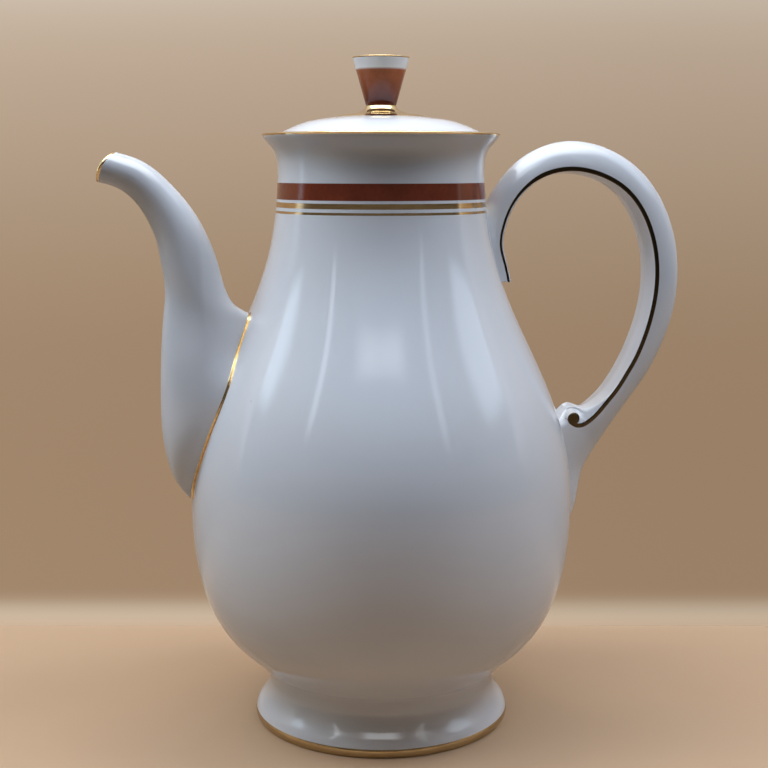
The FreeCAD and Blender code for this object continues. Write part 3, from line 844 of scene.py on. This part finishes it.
# the enamel is darker at the knob's foot and lighter towards its top, changing between these heights in
# metres
LOWER_RED = (0.105, 0.018, 0.012, 1.0)
UPPER_RED = (0.31, 0.085, 0.032, 1.0)
RED_SHIFT = (0.234, 0.245)
BRUSHED_EDGE = 0.8
KNOB_GILT = (249.2, 251.0)
KNOB_GILT_BEYOND = 9.7

knob_side = []
for step in range(KNOB_RINGS + 1):
    share = step / KNOB_RINGS
    knob_side.append(tuple(low + (high - low) * share for low, high in (KNOB_RADII, KNOB_HEIGHTS)))
knob = lathe("trumpet_knob", [(0.0, KNOB_HEIGHTS[0])] + knob_side + KNOB_CROWN, steps=96, edge=0.12)
knob_glaze = Glazed("knob_glaze")
tree = knob_glaze.tree
parts = tree.nodes.new("ShaderNodeSeparateXYZ")
link_in(tree, parts, i0=knob_glaze.place)
upward = tree.nodes.new("ShaderNodeMapRange")
link_in(tree, upward, i0=parts.outputs[2], i1=RED_SHIFT[0], i2=RED_SHIFT[1])
knob_glaze.enamel(knob_glaze.ring(*KNOB_RED, edge=BRUSHED_EDGE),
                  mix_colour(tree, upward.outputs[0], LOWER_RED, UPPER_RED))
knob_glaze.gild(knob_glaze.ring(*KNOB_GILT, beyond=KNOB_GILT_BEYOND))
knob.data.materials.append(knob_glaze.close())
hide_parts("lid_knob")
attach(knob, "lid")

# ---- Studio -----------------------------------------------------------------------------
# Pale paper on the table, and a sheet of it that stands close behind the pot with a cove at
# its foot, glowing with painted light and shade. Some of the soft lamps light the surfaces,
# and the others only shine in the glaze and the gold: a canopy, a card high in front, and a
# strip and a panel at each side.

# camera, wall and lamps are turned by this about the pot's axis, towards the spout
TURN = math.radians(13)
TABLE_SIZE = 8.0
PAPER = (0.51, 0.328, 0.189, 1.0)
# what the paper throws back on the pot, from near it and from far, and where the one becomes
# the other, in metres from the pot
# painted shade: the paper throws back much less light on the pot than it shows, and nearly none far from
# it
NEAR_PAPER = (0.27, 0.165, 0.088, 1.0)
FAR_PAPER = (0.03, 0.025, 0.020, 1.0)
NEAR_AND_FAR = (0.16, 0.30)
WALL_BEHIND = 0.110
WALL_WIDTH = 5.0
WALL_TOP = 0.6
WALL_SUNK = 0.0001
COVE = 0.0124
# the wall's painted light and shade: its glow at each height in metres, and how it dims from left to
# right
WALL_PAINTED_LIGHT = [(0.0, (0.60, 0.44, 0.31)), (0.004, (0.56, 0.40, 0.28)),
              (0.010, (0.36, 0.245, 0.155)), (0.016, (0.350, 0.235, 0.147)),
              (0.13, (0.335, 0.225, 0.140)), (0.19, (0.405, 0.295, 0.200)),
              (0.24, (0.475, 0.36, 0.27)), (0.29, (0.56, 0.45, 0.335)), (0.36, (0.60, 0.49, 0.37))]
LEFT_AND_RIGHT = (-0.14, 0.16)
LEFT_STRENGTH = 1.03
RIGHT_STRENGTH = 0.93
# the dim room throws little light, but looks and mirrors as a plain warm grey
ROOM_LIGHT = (0.024, 0.027, 0.032, 1.0)
ROOM = (0.12, 0.103, 0.088, 1.0)
MIDDLE = Vector((0, 0, 0.12))


def seen_directly(tree):
    """1 for rays from the camera, off a glossy surface or through a clear one, 0 for the light
    that surfaces throw on each other."""
    path = tree.nodes.new("ShaderNodeLightPath")
    shown = math_node(tree, "ADD", path.outputs["Is Camera Ray"], path.outputs["Is Glossy Ray"], True)
    return math_node(tree, "ADD", shown, path.outputs["Is Transmission Ray"], True)


bpy.ops.object.select_all(action="DESELECT")
bpy.ops.mesh.primitive_plane_add(size=TABLE_SIZE, location=(0, 0, 0))
table_paper = bpy.context.object
table_paper.name = "table_paper"
matt_paper = bpy.data.materials.new("matt_paper")
matt_paper.use_nodes = True
tree = matt_paper.node_tree
shader = tree.nodes["Principled BSDF"]
place = tree.nodes.new("ShaderNodeTexCoord").outputs["Object"]
reach = tree.nodes.new("ShaderNodeVectorMath")
reach.operation = "LENGTH"
link_in(tree, reach, i0=place)
far = tree.nodes.new("ShaderNodeMapRange")
far.interpolation_type = "SMOOTHSTEP"
link_in(tree, far, i0=reach.outputs["Value"], i1=NEAR_AND_FAR[0], i2=NEAR_AND_FAR[1])
# painted shade: light bounced off the paper takes these darker colours
thrown_back = mix_colour(tree, far.outputs[0], NEAR_PAPER, FAR_PAPER)
shade = tree.nodes.new("ShaderNodeVectorMath")
shade.operation = "SCALE"
link_in(tree, shade, i0=mix_colour(tree, seen_directly(tree), thrown_back, PAPER),
        Scale=swing(tree, noise(tree, place, 9.0, 4.0), 0.97, 1.03))
tree.links.new(shade.outputs[0], shader.inputs["Base Color"])
shader.inputs["Roughness"].default_value = 0.75
table_paper.data.materials.append(matt_paper)

bpy.ops.object.select_all(action="DESELECT")
bpy.ops.mesh.primitive_plane_add(size=1.0, location=(0, 0, 0))
wall_paper = bpy.context.object
wall_paper.name = "wall_paper"
bpy.ops.object.mode_set(mode="EDIT")
bpy.ops.mesh.select_mode(type="VERT")
bpy.ops.mesh.select_all(action="SELECT")
bpy.ops.mesh.merge(type="CENTER")
bpy.ops.transform.translate(value=(-WALL_WIDTH / 2, WALL_BEHIND - COVE, -WALL_SUNK))
profile = []
for degrees in range(0, 91, 6):
    turned = math.radians(degrees)
    profile.append((COVE * math.sin(turned), COVE * (1 - math.cos(turned))))
profile.append((COVE, WALL_TOP))
for start, end in zip(profile, profile[1:]):
    bpy.ops.mesh.extrude_region_move(
        TRANSFORM_OT_translate={"value": (0, end[0] - start[0], end[1] - start[1])})
bpy.ops.mesh.select_all(action="SELECT")
bpy.ops.mesh.extrude_region_move(TRANSFORM_OT_translate={"value": (WALL_WIDTH, 0, 0)})
bpy.ops.mesh.select_all(action="SELECT")
bpy.ops.transform.rotate(value=TURN, orient_axis="Z", center_override=(0, 0, 0))
bpy.ops.mesh.flip_normals()
bpy.ops.object.mode_set(mode="OBJECT")
bpy.ops.object.shade_smooth_by_angle(angle=math.radians(40))
wall_painted_light = bpy.data.materials.new("wall_painted_light")
wall_painted_light.use_nodes = True
tree = wall_painted_light.node_tree
tree.nodes.remove(tree.nodes["Principled BSDF"])
place = tree.nodes.new("ShaderNodeSeparateXYZ")
link_in(tree, place, i0=tree.nodes.new("ShaderNodeTexCoord").outputs["Object"])
toned_to = WALL_PAINTED_LIGHT[-1][0]
height = tree.nodes.new("ShaderNodeMapRange")
link_in(tree, height, i0=place.outputs[2], i2=toned_to)
tones = tree.nodes.new("ShaderNodeValToRGB")
tones.color_ramp.interpolation = "B_SPLINE"
for level, colour in WALL_PAINTED_LIGHT:
    share = level / toned_to
    if share in (0.0, 1.0):
        tones.color_ramp.elements[int(share)].color = (*colour, 1.0)
    else:
        tones.color_ramp.elements.new(share).color = (*colour, 1.0)
tree.links.new(height.outputs[0], tones.inputs[0])
drift = tree.nodes.new("ShaderNodeMapRange")
link_in(tree, drift, i0=place.outputs[0], i1=LEFT_AND_RIGHT[0], i2=LEFT_AND_RIGHT[1],
        i3=LEFT_STRENGTH, i4=RIGHT_STRENGTH)
# the wall glows with painted light and shade instead of being lit by the lamps
glow = tree.nodes.new("ShaderNodeEmission")
link_in(tree, glow, Color=tones.outputs[0],
        Strength=math_node(tree, "MULTIPLY", seen_directly(tree), drift.outputs[0]))
clear = tree.nodes.new("ShaderNodeBsdfTransparent")
one_sided = tree.nodes.new("ShaderNodeMixShader")
link_in(tree, one_sided, i0=tree.nodes.new("ShaderNodeNewGeometry").outputs["Backfacing"],
        i1=glow.outputs[0], i2=clear.outputs[0])
tree.links.new(one_sided.outputs[0], tree.nodes["Material Output"].inputs["Surface"])
wall_paper.data.materials.append(wall_painted_light)
wall_paper.visible_shadow = False
wall_paper.visible_diffuse = False


def soft_lamp(name, bearing, height, distance, size, radiance, edge=0.12, lights=True, shines=True):
    """Rectangular soft lamp aimed at the pot, at a bearing to the right of the camera and an
    angle above the table, both in degrees. Its light fades over a share of its width at the
    edges. It lights the surfaces, shines in the glaze and the gold, or does both."""
    lamp = bpy.data.lights.new(name, "AREA")
    lamp.shape = "RECTANGLE"
    lamp.size, lamp.size_y = size
    lamp.energy = math.pi * size[0] * size[1]
    lamp.color = radiance
    holder = bpy.data.objects.new(name, lamp)
    bpy.context.scene.collection.objects.link(holder)
    across = math.radians(bearing) - TURN
    up = math.radians(height)
    away = Vector((math.sin(across) * math.cos(up), -math.cos(across) * math.cos(up), math.sin(up)))
    holder.location = MIDDLE + away * distance
    holder.rotation_euler = (-away).to_track_quat("-Z", "Y").to_euler()
    holder.visible_camera = False
    holder.visible_diffuse = lights
    holder.visible_glossy = shines
    lamp.use_nodes = True
    tree = lamp.node_tree
    spot = tree.nodes.new("ShaderNodeSeparateXYZ")
    link_in(tree, spot, i0=tree.nodes.new("ShaderNodeNewGeometry").outputs["Parametric"])
    fade = 1.0
    for axis in (0, 1):
        off_centre = math_node(tree, "SUBTRACT", spot.outputs[axis], 0.5)
        side = math_node(tree, "SUBTRACT", 0.5, math_node(tree, "ABSOLUTE", off_centre))
        ramp = tree.nodes.new("ShaderNodeMapRange")
        ramp.interpolation_type = "SMOOTHSTEP"
        link_in(tree, ramp, i0=side, i2=edge)
        fade = math_node(tree, "MULTIPLY", fade, ramp.outputs[0])
    tree.links.new(fade, tree.nodes["Emission"].inputs["Strength"])


soft_lamp("overhead_back", 180, 70, 1.15, (1.4, 0.5), (2.7, 2.2, 1.6))
soft_lamp("overhead_front", 0, 70, 1.15, (1.4, 0.5), (1.5, 1.7, 2.1))
soft_lamp("canopy", 0, 84, 1.2, (2.4, 1.8), (5.6, 5.9, 6.1), 0.2, lights=False)
soft_lamp("front_high", 0, 46.5, 1.25, (0.9, 0.28), (3.5, 3.7, 3.9), 0.35, lights=False)
soft_lamp("left_front_high", -50, 62, 1.25, (0.6, 0.6), (1.6, 1.6, 1.8), shines=False)
soft_lamp("left_high", -85, 57, 1.25, (0.6, 0.6), (6.8, 7.9, 9.3), shines=False)
soft_lamp("left_middle", -85, 35, 1.25, (0.6, 0.5), (2.9, 3.1, 3.1), shines=False)
soft_lamp("right_high", 85, 57, 1.25, (0.6, 0.6), (7.6, 8.9, 10.6), shines=False)
soft_lamp("right_low", 95, 10, 1.25, (0.8, 0.3), (2.4, 2.0, 1.8), shines=False)
soft_lamp("left_strip", -48, 34, 1.25, (0.13, 0.70), (2.3, 2.5, 2.8), 0.4, lights=False)
soft_lamp("right_strip", 42, 32, 1.25, (0.15, 0.75), (1.3, 1.45, 1.6), 0.4, lights=False)
soft_lamp("left_side", -104, 38, 1.25, (1.05, 0.85), (2.3, 2.9, 3.4), 0.2, lights=False)
soft_lamp("right_side", 92, 36, 1.25, (0.95, 0.80), (1.7, 2.1, 2.5), 0.2, lights=False)

room = bpy.data.worlds.new("room")
bpy.context.scene.world = room
room.use_nodes = True
tree = room.node_tree
link_in(tree, tree.nodes["Background"], Strength=1.0,
        Color=mix_colour(tree, seen_directly(tree), ROOM_LIGHT, ROOM))

# ---- Camera -----------------------------------------------------------------------------
# Held at the height of the pot's neck, half a metre away and looking down a little, with the
# spout turned slightly towards it.

# width of the picture, its horizon and the lens's focal length, in pixels
PICTURE = 768
HORIZON = 167
FOCAL_LENGTH = 1400
SENSOR = 36.0
DISTANCE = 0.5244
ASIDE = 0.0011
EYE_HEIGHT = 0.210

pitch = math.atan((PICTURE / 2 - HORIZON) / FOCAL_LENGTH)
view = bpy.data.cameras.new("camera")
view.sensor_width = SENSOR
view.lens = SENSOR * FOCAL_LENGTH / PICTURE
view.clip_start = 0.01
camera = bpy.data.objects.new("camera", view)
bpy.context.scene.collection.objects.link(camera)
camera.location = (ASIDE * math.cos(TURN) - DISTANCE * math.sin(TURN),
                   -ASIDE * math.sin(TURN) - DISTANCE * math.cos(TURN), EYE_HEIGHT)
camera.rotation_euler = (math.pi / 2 - pitch, 0, -TURN)
bpy.context.scene.camera = camera
bpy.context.scene.view_settings.view_transform = "Standard"
